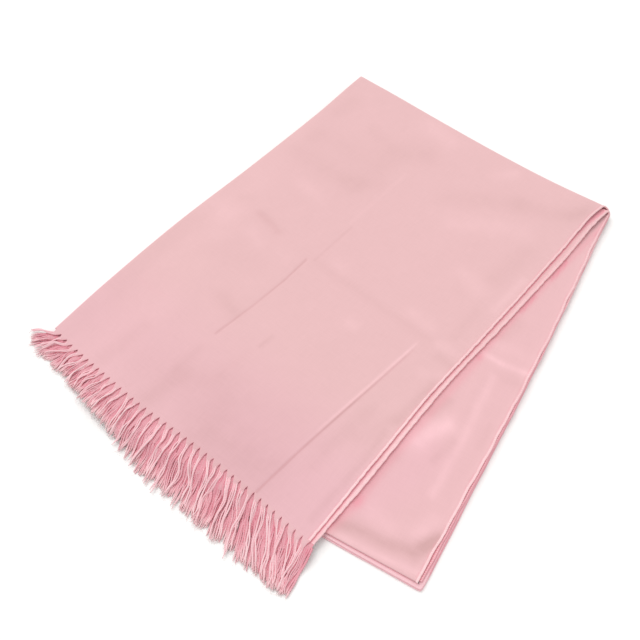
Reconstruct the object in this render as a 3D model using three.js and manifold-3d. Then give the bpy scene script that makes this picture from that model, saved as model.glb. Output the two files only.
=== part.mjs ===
import * as THREE from 'three';
import { mergeVertices } from 'three/addons/utils/BufferGeometryUtils.js';
import Module from 'manifold-3d';

// A pashmina shawl, folded lengthwise, then across and across again, lying on a flat surface.
// Sizes are in millimetres. While the pieces are made, the origin is the left end of the
// fringed hem: +X runs across the folded band, +Y along it to the cross fold, +Z up.

// The cloth and how its layers lie.
const PLY = 1.1;                 // wall of one layer
const REST_GAP = 0.3;            // air between layers that lie on each other
const SEAM_GAP = 0.3;            // between neighbouring solids
const HEM_STRIP = 3;             // depth of the strip that carries the fringe
const HIDDEN_HEIGHT = 4;         // third and fourth stretches together
const LAYER_STEP = 1.65;         // from the middle of one layer to the next
const BEAD_STEP = 2.3;           // the same under a rolled edge
const BEAD_LIFT = 0.6;           // how far a rolled edge lifts its own layer
const DRAPE = 68;                // width over which the cloth comes down to the floor
const FOLD_RADIUS = 1.6;         // lengthwise fold where it lies free
const PRESSED_RADIUS = 0.85;     // lengthwise fold under other layers
const TURN_DEPTH = 3.2;          // from the start of a pressed cross fold to its outermost line
const TURN_TAIL = 1;             // cloth past the turn, before the lower stretch

const LOWER_UNDER = HIDDEN_HEIGHT + REST_GAP + PLY / 2;
const STACK_TOP = LOWER_UNDER + LAYER_STEP + PLY / 2;

// Rolled and overcast selvage: half its thickness at each distance in from the edge.
const ROLLED_EDGE = [
  { inset: 0, half: 0.4 },
  { inset: 0.4, half: 0.9 },
  { inset: 1.1, half: 1.1 },
  { inset: 1.8, half: 0.9 },
  { inset: 2.5, half: PLY / 2 },
];

// Upper stretch, a row for each section along the band: the lengthwise fold, the free edges of
// the top and under layers, and the lengthwise press creases.
const UPPER_SECTIONS = [
  { y: 0, fold: 0, topEdge: 350, underEdge: 354.5, crease: 135, pressed: 275 },
  { y: 75, fold: -5, topEdge: 346.5, underEdge: 352, crease: 134, pressed: 283 },
  { y: 190, fold: -7, topEdge: 340.5, underEdge: 346.5, crease: 140, pressed: 293 },
  { y: 300, fold: -2, topEdge: 341, underEdge: 348, crease: 148, pressed: 299 },
  { y: 405, fold: 1, topEdge: 340.5, underEdge: 349.5, crease: 158, pressed: 301 },
  { y: 500, fold: 0, topEdge: 338, underEdge: 352, crease: 176, pressed: 303 },
];

// The fringed hem and the cross fold, a row for each place across the band. The lift is how
// far the open turn at the right stands above a pressed one.
const CROSS_SECTIONS = [
  { x: 0, hem: 0, crossFold: 492, lift: 0.4 },
  { x: 45, hem: -1, crossFold: 494.2, lift: 0.4 },
  { x: 125, hem: -2.5, crossFold: 496, lift: 0.5 },
  { x: 200, hem: 2.5, crossFold: 498.4, lift: 0.8 },
  { x: 275, hem: 4.3, crossFold: 502.8, lift: 1.6 },
  { x: 350, hem: 2.8, crossFold: 511.5, lift: 2.6 },
];

// Lower stretch, a row for each section from the cross fold to the second fold: its lengthwise
// fold, and the free edges of its top layer, its under layer and the hidden layers.
const LOWER_SECTIONS = [
  { v: 0, foldX: 3, foldY: 487, edgeX: 352, edgeY: 500, under: 2.2, hidden: 3.5 },
  { v: 0.1, foldX: 13, foldY: 436, edgeX: 364, edgeY: 454, under: 2.4, hidden: 4 },
  { v: 0.35, foldX: 39, foldY: 306, edgeX: 390, edgeY: 336, under: 3, hidden: 5 },
  { v: 0.6, foldX: 66, foldY: 176, edgeX: 411, edgeY: 219, under: 3.6, hidden: 6.5 },
  { v: 0.8, foldX: 87, foldY: 72, edgeX: 427, edgeY: 131, under: 4.6, hidden: 8 },
  { v: 1, foldX: 108, foldY: -29, edgeX: 442, edgeY: 41, under: 4.2, hidden: 7.5 },
];
const LOWER_LENGTH = 460;        // along its shortest side
const SECOND_FOLD = { out: { x: 0.216, y: -0.976 }, rise: 1.5 };
const CROSS_CREASE = { v: 0.5, reach: 0.014, rise: 0.5 };
const UNDER_SHARE = 0.15;        // how far the under layer goes on while the top rolls down

// Steps round a lengthwise fold and round a cross fold, in degrees.
const FOLD_TURNS = [45, 90, 135];
const CROSS_TURNS = [30, 60, 90, 120, 150, 180];
const ROLL_DOWN = [35, 70];

// Fringe, a row for each place along the hem: how far the locks lean to the right, in degrees,
// and how long they are.
const FRINGE_SECTIONS = [
  { x: 0, lean: -26, length: 34 },
  { x: 50, lean: -8, length: 39 },
  { x: 110, lean: 6, length: 44 },
  { x: 200, lean: 20, length: 57 },
  { x: 300, lean: 26, length: 62 },
  { x: 350, lean: 15, length: 56 },
];
const LOCKS = 40;
const LOCK = { width: 2.7, tipWidth: 1.5, height: 1.05, waves: 1.3, sway: 1.1 };

// Edge of the hidden layers: how far each level lies in from the outline.
const LAYERED_EDGE = [
  { z: 0, inset: 1.2 }, { z: 0.25, inset: 0.2 }, { z: 0.85, inset: 0.2 }, { z: 1.05, inset: 1.7 },
  { z: 1.3, inset: 0.9 }, { z: 1.85, inset: 0.9 }, { z: 2.05, inset: 2.6 }, { z: 2.3, inset: 0.6 },
  { z: 2.9, inset: 0.6 }, { z: 3.15, inset: 2.2 }, { z: 3.4, inset: 1.5 },
  { z: HIDDEN_HEIGHT, inset: 2.6 },
];

const clamp01 = (t) => Math.min(1, Math.max(0, t));
const smooth = (t) => clamp01(t) ** 2 * (3 - 2 * clamp01(t));
const mix = (a, b, t) => a + (b - a) * t;

// Smooth curve through one column of a table of sections.
function through(table, key, value, at) {
  const last = table.length - 1;
  let i = 0;
  while (i < last - 1 && at > table[i + 1][key]) i += 1;
  const row = (n) => table[Math.min(last, Math.max(0, n))];
  const slope = (n) => {
    const before = row(n - 1);
    const after = row(n + 1);
    return (after[value] - before[value]) / (after[key] - before[key]);
  };
  const span = row(i + 1)[key] - row(i)[key];
  const t = clamp01((at - row(i)[key]) / span);
  const rise = row(i + 1)[value] - row(i)[value];
  const bend = (slope(i) * span - rise) * t * (1 - t) ** 2;
  const bendBack = (slope(i + 1) * span - rise) * t * t * (1 - t);
  return row(i)[value] + rise * t + bend - bendBack;
}
const alongBand = (value, y) => through(UPPER_SECTIONS, 'y', value, y);
const acrossBand = (value, x) => through(CROSS_SECTIONS, 'x', value, x);
const alongLower = (value, v) => through(LOWER_SECTIONS, 'v', value, v);
const alongFringe = (value, x) => through(FRINGE_SECTIONS, 'x', value, x);

// Where the layers start to turn round the cross fold.
const turnStart = (x) => acrossBand('crossFold', x) - TURN_DEPTH - acrossBand('lift', x);

// Lengthwise fold of the lower stretch: its place at a height y of the upper stretch.
function stackEdge(y) {
  const top = LOWER_SECTIONS[0];
  const end = LOWER_SECTIONS[LOWER_SECTIONS.length - 1];
  return mix(top.foldX, end.foldX, (top.foldY - y) / (top.foldY - end.foldY));
}

// Top of what lies under the upper stretch.
const support = (x, y) => STACK_TOP * smooth(1 + (x - stackEdge(y) + 2) / DRAPE);

// The open turn lifts the layers near the cross fold, most at the right.
function turnLift(x, y) {
  const near = smooth((y - acrossBand('crossFold', x) + 90) / 85);
  return acrossBand('lift', x) * near;
}

// Shallow press creases: one from the hem, one along the middle, one across.
function pressCrease(x, y) {
  const pressed = Math.exp(-(((x - alongBand('pressed', y)) / 2.2) ** 2)) * smooth((250 - y) / 40);
  const middle = Math.exp(-(((x - alongBand('crease', y)) / 4) ** 2)) * smooth((y - 60) / 60);
  const across = Math.exp(-(((y - 236) / 4) ** 2)) * smooth((x - 120) / 40) * smooth((315 - x) / 30);
  return -0.3 * pressed - 0.22 * middle - 0.2 * across;
}

// Middle of a layer of the upper stretch: side 1 is the top layer, side -1 the under layer.
function upperHeight(x, y, side, inset) {
  const base = support(x, y);
  const onStack = smooth(base / STACK_TOP);
  const lowest = base + (REST_GAP + 0.05) * onStack + PLY / 2;
  const under = lowest + turnLift(x, y) * 1.35;
  const edge = smooth(1 - inset / 9);
  if (side < 0) return under + BEAD_LIFT * edge;
  const loose = smooth(1 - (x - alongBand('fold', y)) / 26) * (1 - 0.75 * onStack);
  const step = LAYER_STEP + (2 * FOLD_RADIUS - LAYER_STEP) * loose + turnLift(x, y) * 0.75;
  const top = under + mix(step, Math.max(step, BEAD_STEP + 0.2), edge);
  return top + pressCrease(x, y) * onStack;
}

// Middle of a layer of the lower stretch, in plan and height: s runs from the lengthwise fold
// to the free edge, v from the cross fold to the second fold.
function lowerPoint(s, v, side) {
  const reach = side > 0 ? 0 : alongLower('under', v);
  const edgeX = alongLower('edgeX', v) - SECOND_FOLD.out.y * reach;
  const edgeY = alongLower('edgeY', v) + SECOND_FOLD.out.x * reach;
  const x = mix(alongLower('foldX', v) + PRESSED_RADIUS, edgeX, s);
  const start = LOWER_SECTIONS[0];
  const bend = (turnStart(x) - mix(start.foldY, start.edgeY, s)) * smooth(1 - v / 0.08);
  const y = mix(alongLower('foldY', v), edgeY, s) + bend;
  const width = edgeX - alongLower('foldX', v);
  const edge = smooth(1 - (1 - s) * width / 9);
  const free = smooth((x - alongBand('underEdge', y) - 4) / 14);
  const step = CROSS_CREASE.rise * Math.exp(-(((v - CROSS_CREASE.v) / CROSS_CREASE.reach) ** 2)) * free;
  const open = acrossBand('lift', x) * smooth(1 - v / 0.17);
  const under = LOWER_UNDER + step + BEAD_LIFT * edge * (side < 0 ? 1 : 0.3);
  const z = side < 0 ? under : under + mix(LAYER_STEP, BEAD_STEP + 0.1, edge) + open * 0.4;
  return new THREE.Vector3(x, y, z);
}

// Closed wall round a grid of middle points: each row crosses the cloth, from the free edge of
// one layer round the lengthwise fold to the free edge of the other.
function clothWall(rows, half) {
  const deep = rows.length;
  const wide = half.length;
  const at = (j, k) => rows[Math.min(deep - 1, Math.max(0, j))][Math.min(wide - 1, Math.max(0, k))];
  const position = [];
  rows.forEach((row, j) => row.forEach((point, k) => {
    const along = at(j + 1, k).clone().sub(at(j - 1, k));
    const across = at(j, k + 1).clone().sub(at(j, k - 1));
    const out = along.cross(across).normalize();
    const outer = point.clone().addScaledVector(out, half[k]);
    const inner = point.clone().addScaledVector(out, -half[k]);
    position.push(outer.x, outer.y, outer.z, inner.x, inner.y, inner.z);
  }));
  const index = [];
  const outer = (j, k) => 2 * (j * wide + k);
  const inner = (j, k) => outer(j, k) + 1;
  const quad = (a, b, c, d) => index.push(a, b, c, a, c, d);
  for (let j = 0; j < deep - 1; j += 1) {
    for (let k = 0; k < wide - 1; k += 1) {
      quad(outer(j, k), outer(j + 1, k), outer(j + 1, k + 1), outer(j, k + 1));
      quad(inner(j, k + 1), inner(j + 1, k + 1), inner(j + 1, k), inner(j, k));
    }
    quad(inner(j, 0), inner(j + 1, 0), outer(j + 1, 0), outer(j, 0));
    quad(outer(j, wide - 1), outer(j + 1, wide - 1), inner(j + 1, wide - 1), inner(j, wide - 1));
  }
  for (let k = 0; k < wide - 1; k += 1) {
    quad(inner(0, k + 1), inner(0, k), outer(0, k), outer(0, k + 1));
    quad(outer(deep - 1, k + 1), outer(deep - 1, k), inner(deep - 1, k), inner(deep - 1, k + 1));
  }
  const geometry = new THREE.BufferGeometry();
  geometry.setAttribute('position', new THREE.Float32BufferAttribute(position, 3));
  geometry.setIndex(index);
  return geometry;
}

// Places across the upper stretch at a height y, from the free edge in to the lengthwise fold.
function upperColumns(y, edge) {
  const fold = alongBand('fold', y) + FOLD_RADIUS;
  const inner = alongBand('topEdge', y) - 8;
  const pressed = alongBand('pressed', y);
  const crease = alongBand('crease', y);
  const stack = stackEdge(y);
  const columns = ROLLED_EDGE.map(({ inset, half }) => ({ x: edge - inset, half }));
  const add = (x) => columns.push({ x, half: PLY / 2 });
  [inner, pressed + 3.5, pressed, pressed - 3.5].forEach(add);
  [0.3, 0.65].forEach((part) => add(mix(pressed, crease, part)));
  [crease + 6, crease, crease - 6].forEach(add);
  [0.35, 0.7, 1].forEach((part) => add(mix(crease - 6, stack, part)));
  [0.14, 0.3, 0.48, 0.7, 1].forEach((part) => add(mix(stack, fold, part)));
  return columns;
}

// One section of the upper stretch: top layer, lengthwise fold, under layer.
function upperSection(t) {
  const layer = (side, edgeName) => {
    const y = mix(0, turnStart(0), t);
    const edge = alongBand(edgeName, y);
    return upperColumns(y, edge).map(({ x, half }) => {
      const hem = acrossBand('hem', x);
      const yHere = mix(hem, turnStart(x), t);
      const z = upperHeight(x, yHere, side, edge - x);
      return { point: new THREE.Vector3(x, yHere, z), half, side };
    });
  };
  const top = layer(1, 'topEdge');
  const under = layer(-1, 'underEdge').reverse();
  const start = top[top.length - 1].point;
  const end = under[0].point;
  const radius = (start.z - end.z) / 2;
  const bend = FOLD_TURNS.map((degrees) => {
    const turn = THREE.MathUtils.degToRad(degrees);
    const x = start.x - Math.min(radius, FOLD_RADIUS) * Math.sin(turn);
    const z = (start.z + end.z) / 2 + radius * Math.cos(turn);
    return { point: new THREE.Vector3(x, start.y, z), half: PLY / 2, turn };
  });
  return [...top, ...bend, ...under];
}

// The same columns where the lower stretch starts, for the far side of the turn.
function turnedSection(section) {
  const fold = section.find(({ side }) => side < 0).point.x;
  const topEdge = section[0].point.x;
  const underEdge = section[section.length - 1].point.x;
  const low = ({ point, side }) => {
    const edge = side > 0 ? topEdge : underEdge;
    return lowerPoint(clamp01((point.x - fold) / (edge - fold)), 0, -side);
  };
  const folded = lowerPoint(0, 0, 1);
  const foldedUnder = lowerPoint(0, 0, -1);
  return section.map((column) => {
    if (column.side) return low(column);
    const radius = (folded.z - foldedUnder.z) / 2;
    const z = (folded.z + foldedUnder.z) / 2 - radius * Math.cos(column.turn);
    return new THREE.Vector3(folded.x - radius * Math.sin(column.turn), folded.y, z);
  });
}

// Rows that carry the cloth round the cross fold, and a short way along under it.
function crossFoldRows(section) {
  const far = turnedSection(section);
  const end = far.map(({ x, y, z }) => new THREE.Vector3(x, y - TURN_TAIL, z));
  const rows = CROSS_TURNS.map((degrees) => {
    const turn = THREE.MathUtils.degToRad(degrees);
    const share = (1 - Math.cos(turn)) / 2;
    return section.map(({ point }, k) => {
      const radius = (point.z - far[k].z) / 2;
      const x = mix(point.x, far[k].x, share);
      const y = mix(point.y, far[k].y, share) + radius * Math.sin(turn);
      return new THREE.Vector3(x, y, mix(point.z, far[k].z, share));
    });
  });
  return [...rows, end];
}

function upperStretch() {
  const steps = [0, 0.03, 0.08, 0.14, 0.2, 0.26, 0.32, 0.38, 0.43, 0.465, 0.48, 0.495, 0.53,
    0.59, 0.65, 0.71, 0.77, 0.83, 0.88, 0.92, 0.96, 1];
  const sections = steps.map(upperSection);
  const flat = sections.map((section) => section.map(({ point }) => point));
  const turned = crossFoldRows(sections[sections.length - 1]);
  return clothWall([...flat, ...turned], sections[0].map(({ half }) => half));
}

// One section of the lower stretch: top layer, lengthwise fold, under layer.
function lowerSection(v) {
  const parts = [0.97, 0.92, 0.84, 0.74, 0.62, 0.5, 0.38, 0.26, 0.14, 0.05, 0];
  const layer = (side) => {
    const fold = lowerPoint(0, v, side);
    const width = lowerPoint(1, v, side).x - fold.x;
    const rolled = ROLLED_EDGE.map(({ inset, half }) => ({ s: 1 - inset / width, half }));
    const plain = parts.map((s) => ({ s, half: PLY / 2 }));
    return [...rolled, ...plain].map(({ s, half }) => ({ point: lowerPoint(s, v, side), half }));
  };
  const top = layer(1);
  const under = layer(-1).reverse();
  const start = top[top.length - 1].point;
  const end = under[0].point;
  const bend = FOLD_TURNS.map((degrees) => {
    const turn = THREE.MathUtils.degToRad(degrees);
    const radius = (start.z - end.z) / 2;
    const z = (start.z + end.z) / 2 + radius * Math.cos(turn);
    return { point: new THREE.Vector3(start.x - radius * Math.sin(turn), start.y, z), half: PLY / 2 };
  });
  return [...top, ...bend, ...under];
}

function lowerStretch() {
  const start = (TURN_TAIL + 2 * SEAM_GAP) / LOWER_LENGTH;
  const steps = [start, 0.05, 0.11, 0.17, 0.24, 0.31, 0.38, 0.44, 0.485, 0.5, 0.515, 0.56, 0.63,
    0.7, 0.78, 0.86, 0.93, 0.985, 1];
  const sections = steps.map(lowerSection);
  const rows = sections.map((section) => section.map(({ point }) => point));
  const last = rows[rows.length - 1];
  const middle = (last.length - 1) / 2;
  ROLL_DOWN.forEach((degrees) => {
    const turn = THREE.MathUtils.degToRad(degrees);
    rows.push(last.map((point, k) => {
      const top = k <= middle ? 1 : 0;
      const forward = SECOND_FOLD.rise * Math.sin(turn) * mix(UNDER_SHARE, 1, top);
      const x = point.x + SECOND_FOLD.out.x * forward;
      const y = point.y + SECOND_FOLD.out.y * forward;
      return new THREE.Vector3(x, y, point.z - top * SECOND_FOLD.rise * (1 - Math.cos(turn)));
    }));
  });
  return clothWall(rows, sections[0].map(({ half }) => half));
}

// Outline of the hidden layers, all round, as seen from above.
function hiddenOutline() {
  const outline = [];
  const end = LOWER_SECTIONS[LOWER_SECTIONS.length - 1];
  const back = (x) => turnStart(x) - 1.3;
  [0.97, 0.8, 0.6, 0.4, 0.2, 0.03].forEach((v) => {
    outline.push([alongLower('foldX', v) - 0.5, alongLower('foldY', v)]);
  });
  [8, 14, 60, 120, 180, 240, 300, 340].forEach((x) => outline.push([x, back(x)]));
  [0.03, 0.1, 0.2, 0.35, 0.5, 0.65, 0.8, 0.93, 0.985].forEach((v) => {
    const reach = alongLower('hidden', v);
    outline.push([alongLower('edgeX', v) + reach, alongLower('edgeY', v) + reach * 0.2]);
  });
  [0.985, 0.96, 0.8, 0.6, 0.4, 0.2, 0.04, 0.01].forEach((s) => {
    const sag = 4 * s * (1 - s);
    const drop = 5.2 + sag * 0.8 - (s > 0.98 || s < 0.02 ? 2 : 0);
    const x = mix(end.foldX, end.edgeX + end.hidden, s) + SECOND_FOLD.out.x * drop;
    outline.push([x, mix(end.foldY, end.edgeY, s) + SECOND_FOLD.out.y * drop]);
  });
  return outline.map(([x, y]) => new THREE.Vector2(x, y));
}

// Outline moved in by a distance, along the bisector at each point.
function insetOutline(outline, inset) {
  const n = outline.length;
  return outline.map((point, i) => {
    const before = point.clone().sub(outline[(i + n - 1) % n]).normalize();
    const after = outline[(i + 1) % n].clone().sub(point).normalize();
    const along = before.add(after).normalize();
    return new THREE.Vector2(point.x + along.y * inset, point.y - along.x * inset);
  });
}

function hiddenLayers() {
  const outline = hiddenOutline();
  const n = outline.length;
  const position = [];
  const index = [];
  LAYERED_EDGE.forEach(({ z, inset }, level) => {
    insetOutline(outline, inset).forEach(({ x, y }) => position.push(x, y, z));
    if (level === 0) return;
    for (let i = 0; i < n; i += 1) {
      const low = (level - 1) * n + i;
      const lowNext = (level - 1) * n + ((i + 1) % n);
      index.push(low, low + n, lowNext + n, low, lowNext + n, lowNext);
    }
  });
  const top = (LAYERED_EDGE.length - 1) * n;
  THREE.ShapeUtils.triangulateShape(outline, []).forEach(([a, b, c]) => {
    const turn = outline[b].clone().sub(outline[a]).cross(outline[c].clone().sub(outline[a]));
    const [p, q] = turn > 0 ? [b, c] : [c, b];
    index.push(a, q, p, top + a, top + p, top + q);
  });
  const geometry = new THREE.BufferGeometry();
  geometry.setAttribute('position', new THREE.Float32BufferAttribute(position, 3));
  geometry.setIndex(index);
  return geometry;
}

// What the fringe comes down on: the corner of the lower stretch, then the floor.
function fringeFloor(x, y) {
  const corner = LOWER_SECTIONS[LOWER_SECTIONS.length - 1];
  const beyond = (x - corner.foldX) * SECOND_FOLD.out.x + (y - corner.foldY) * SECOND_FOLD.out.y;
  return support(x, y) * smooth(1 - (beyond - 9) / 16);
}

// Middle points of one lock, from inside the strip to the tip.
function lockPath(x, side, edge) {
  const root = acrossBand('hem', x) - SEAM_GAP - HEM_STRIP / 2;
  const z = upperHeight(x, acrossBand('hem', x), side, edge - x);
  const lean = THREE.MathUtils.degToRad(alongFringe('lean', x));
  const length = alongFringe('length', x) * (side > 0 ? 1 : 0.95);
  return [0, 0.12, 0.3, 0.52, 0.76, 1].map((part) => {
    const swing = LOCK.sway * Math.sin(part * Math.PI * LOCK.waves + x / 23) * smooth(part * 2);
    const px = x + Math.sin(lean) * length * part + Math.cos(lean) * swing;
    const py = root - Math.cos(lean) * length * part + Math.sin(lean) * swing;
    const rest = fringeFloor(px, py) + REST_GAP + LOCK.height / 2;
    return new THREE.Vector3(px, py, mix(z, rest, smooth((part - 0.07) * 2.6)));
  });
}

// A lock is a four-sided twist of yarn, widest at the root.
function lockGeometry(path) {
  const position = [];
  const index = [];
  path.forEach((point, i) => {
    const before = path[Math.max(0, i - 1)];
    const after = path[Math.min(path.length - 1, i + 1)];
    const along = after.clone().sub(before).setZ(0).normalize();
    const half = mix(LOCK.width, LOCK.tipWidth, i / (path.length - 1)) / 2;
    const corners = [[half, 0], [0, LOCK.height / 2], [-half, 0], [0, -LOCK.height / 2]];
    corners.forEach(([wide, high]) => {
      position.push(point.x - along.y * wide, point.y + along.x * wide, point.z + high);
    });
    if (i === 0) return;
    for (let k = 0; k < 4; k += 1) {
      const a = 4 * (i - 1) + k;
      const b = 4 * (i - 1) + ((k + 1) % 4);
      index.push(a, b, b + 4, a, b + 4, a + 4);
    }
  });
  const tip = 4 * (path.length - 1);
  index.push(0, 2, 1, 0, 3, 2, tip, tip + 1, tip + 2, tip, tip + 2, tip + 3);
  const geometry = new THREE.BufferGeometry();
  geometry.setAttribute('position', new THREE.Float32BufferAttribute(position, 3));
  geometry.setIndex(index);
  return geometry;
}

// Narrow strip parted from the hem, which carries the roots of the locks.
function hemStrip(side, edge) {
  const xs = upperColumns(0, edge).map(({ x }) => x).filter((x) => x < edge - 0.3);
  const rows = [SEAM_GAP + HEM_STRIP, SEAM_GAP].map((out) => xs.map((x) => {
    const hem = acrossBand('hem', x);
    return new THREE.Vector3(x, hem - out, upperHeight(x, hem, side, edge - x));
  }));
  return clothWall(rows, xs.map(() => PLY / 2));
}

const wasm = await Module();
wasm.setup();

function toSolid(geometry) {
  const bare = geometry.clone();
  bare.deleteAttribute('normal');
  bare.deleteAttribute('uv');
  const merged = mergeVertices(bare, 1e-5);
  return new wasm.Manifold(new wasm.Mesh({
    numProp: 3,
    vertProperties: new Float32Array(merged.attributes.position.array),
    triVerts: new Uint32Array(merged.index.array),
  }));
}

function fromSolid(solid) {
  const mesh = solid.getMesh();
  const geometry = new THREE.BufferGeometry();
  geometry.setAttribute('position', new THREE.BufferAttribute(mesh.vertProperties, 3));
  geometry.setIndex(new THREE.BufferAttribute(mesh.triVerts, 1));
  return geometry;
}

// The locks of the two layers stand between each other, so no two of them touch.
function fringe(side) {
  const edge = alongBand(side > 0 ? 'topEdge' : 'underEdge', 0);
  let solid = toSolid(hemStrip(side, edge));
  const pitch = (alongBand('topEdge', 0) - 6) / LOCKS;
  for (let i = 0; i < LOCKS; i += 1) {
    const x = 4 + pitch * (i + (side > 0 ? 0 : 0.5));
    solid = solid.add(toSolid(lockGeometry(lockPath(x, side, edge))));
  }
  return fromSolid(solid);
}

function piece(name, geometry, color, roughness) {
  const material = new THREE.MeshStandardMaterial({ color, roughness, metalness: 0 });
  geometry.computeVertexNormals();
  const mesh = new THREE.Mesh(geometry, material);
  mesh.name = name;
  return mesh;
}

const shawl = new THREE.Group();
shawl.add(piece('upper_stretch', upperStretch(), 0xedc1c3, 0.85));
shawl.add(piece('lower_stretch', lowerStretch(), 0xebbcbf, 0.85));
shawl.add(piece('hidden_layers', hiddenLayers(), 0xe3a9ae, 0.9));
shawl.add(piece('fringe_upper', fringe(1), 0xe9aab2, 0.9));
shawl.add(piece('fringe_under', fringe(-1), 0xe19aa4, 0.9));

// The finished part stands with the middle of its footprint on the origin.
const box = new THREE.Box3().setFromObject(shawl);
shawl.position.set(-(box.min.x + box.max.x) / 2, -(box.min.y + box.max.y) / 2, -box.min.z);

export default shawl;
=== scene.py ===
import math
import bpy
import numpy as np
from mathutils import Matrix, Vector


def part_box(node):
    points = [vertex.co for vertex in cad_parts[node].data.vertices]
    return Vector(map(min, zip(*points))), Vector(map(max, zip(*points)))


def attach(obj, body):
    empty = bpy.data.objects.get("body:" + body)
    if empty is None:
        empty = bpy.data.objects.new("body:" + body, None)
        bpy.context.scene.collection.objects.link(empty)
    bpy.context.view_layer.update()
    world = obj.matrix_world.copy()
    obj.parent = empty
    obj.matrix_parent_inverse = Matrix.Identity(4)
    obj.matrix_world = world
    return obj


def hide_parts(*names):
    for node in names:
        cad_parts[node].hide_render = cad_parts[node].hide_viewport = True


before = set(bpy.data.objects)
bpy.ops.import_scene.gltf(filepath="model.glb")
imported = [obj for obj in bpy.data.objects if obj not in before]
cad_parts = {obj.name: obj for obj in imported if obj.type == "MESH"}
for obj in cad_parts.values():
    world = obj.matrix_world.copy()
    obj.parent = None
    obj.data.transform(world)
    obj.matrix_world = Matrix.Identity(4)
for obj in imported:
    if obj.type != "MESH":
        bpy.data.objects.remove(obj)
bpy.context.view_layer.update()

rng = np.random.default_rng(27)

# A folded pashmina shawl. Places are in millimetres from the left end of the fringed hem:
# x runs across the folded band, y along it to the cross fold, z up from the floor.
shawl = {
    "ply": 1.1,            # wall of a layer in the frame
    "shell": 0.78,         # wall of a layer here
    "restGap": 0.3,
    "layerStep": 1.65,     # from the middle of one layer to the next
    "beadStep": 2.3,
    "beadLift": 0.6,
    "drape": 68,           # width over which the cloth comes down to the floor
    "foldRadius": 1.6,
    "pressedRadius": 0.85,
    "turnDepth": 3.2,
    "turnTail": 1,
    "hiddenHeight": 4,
}
lowerUnder = shawl["hiddenHeight"] + shawl["restGap"] + shawl["ply"] / 2
stackTop = lowerUnder + shawl["layerStep"] + shawl["ply"] / 2
halfShell = shawl["shell"] / 2


def sections(names, rows):
    return {name: np.array(column, float) for name, column in zip(names.split(), zip(*rows))}


upperSections = sections("y fold topEdge underEdge crease pressed", [
    (0, -2.4, 350, 354.5, 132, 280),
    (75, -6.4, 346.5, 352, 130.5, 283.5),
    (190, -7.8, 340.5, 346.5, 138.5, 292.5),
    (300, -2, 341, 348, 147, 300),
    (405, 1.8, 340.5, 348.5, 150, 302),
    (465, 1.3, 339, 347.5, 156, 302.6),
    (500, 1, 343.5, 350, 160, 303),
])
crossSections = sections("x hem crossFold lift", [
    (0, 0, 492, 0.4),
    (45, -1, 494.2, 0.4),
    (125, -2.5, 496, 0.5),
    (200, 2.5, 498.4, 0.8),
    (275, 4.3, 502.8, 1.6),
    (350, 2.8, 511.5, 2.6),
])
lowerSections = sections("v foldX foldY edgeX edgeY under hidden", [
    (0, 3, 487, 351.5, 500, 1.2, 2.2),
    (0.1, 13, 436, 362.5, 454, 1.2, 2.2),
    (0.35, 39, 306, 389.6, 336, 1.2, 2.2),
    (0.6, 66, 176, 413.3, 219, 1.4, 2.7),
    (0.8, 87, 72, 429, 131, 2, 5),
    (1, 108, -29, 445, 41, 2.6, 6.8),
])
fringeSections = sections("x lean length", [
    (0, -44, 30),
    (18, -26, 32),
    (50, -9, 32.5),
    (110, 6, 40),
    (160, 14, 52.5),
    (200, 20, 60.5),
    (250, 23.5, 64),
    (300, 26, 62.5),
    (350, 13, 51),
])
lowerLength = 460
secondFold = {"x": 0.216, "y": -0.976}


def clamp01(t):
    return np.clip(t, 0.0, 1.0)


def smooth(t):
    t = clamp01(t)
    return t * t * (3 - 2 * t)


def mix(a, b, t):
    return a + (b - a) * t


def bell(d):
    return np.exp(-np.square(d))


def unit(vectors):
    return vectors / (np.linalg.norm(vectors, axis=-1, keepdims=True) + 1e-9)


# Distance run along lines of points.
def runAlong(points):
    steps = np.linalg.norm(np.diff(points, axis=-2), axis=-1)
    return np.concatenate([np.zeros_like(steps[..., :1]), np.cumsum(steps, axis=-1)], axis=-1)


# Smooth curve through one column of a table of sections.
def through(table, value, at):
    at = np.asarray(at, float)
    keys = next(iter(table.values()))
    values = table[value]
    last = len(keys) - 1
    i = np.searchsorted(keys[1:last], at, side="left")

    def slope(n):
        before, after = np.clip(n - 1, 0, last), np.clip(n + 1, 0, last)
        return (values[after] - values[before]) / (keys[after] - keys[before])

    span = keys[i + 1] - keys[i]
    t = clamp01((at - keys[i]) / span)
    rise = values[i + 1] - values[i]
    bend = (slope(i) * span - rise) * t * (1 - t) ** 2
    bendBack = (slope(i + 1) * span - rise) * t * t * (1 - t)
    return values[i] + rise * t + bend - bendBack


def alongBand(value, y):
    return through(upperSections, value, y)


def acrossBand(value, x):
    return through(crossSections, value, x)


def alongLower(value, v):
    return through(lowerSections, value, v)


def turnStart(x):
    return acrossBand("crossFold", x) - shawl["turnDepth"] - acrossBand("lift", x)


def stackEdge(y):
    s = lowerSections
    return mix(s["foldX"][0], s["foldX"][-1], (s["foldY"][0] - y) / (s["foldY"][0] - s["foldY"][-1]))


def support(x, y):
    return stackTop * smooth(1 + (x - stackEdge(y) + 2) / shawl["drape"])


def turnLift(x, y):
    return acrossBand("lift", x) * smooth((y - acrossBand("crossFold", x) + 90) / 85)


# How close places are to a line drawn on the cloth: 1 on it, falling off over its width.
def stroke(x, y, line, width):
    nearest = np.full(np.shape(x), 1e9)
    for (ax, ay), (bx, by) in zip(line[:-1], line[1:]):
        dx, dy = bx - ax, by - ay
        t = clamp01(((x - ax) * dx + (y - ay) * dy) / (dx * dx + dy * dy + 1e-9))
        nearest = np.minimum(nearest, np.hypot(x - ax - dx * t, y - ay - dy * t))
    return bell(nearest / width)


# Sum of a table of strokes: the line, half its width, its amount.
def strokes(x, y, table):
    return sum(row[2] * stroke(x, y, row[0], row[1]) for row in table)


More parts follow.
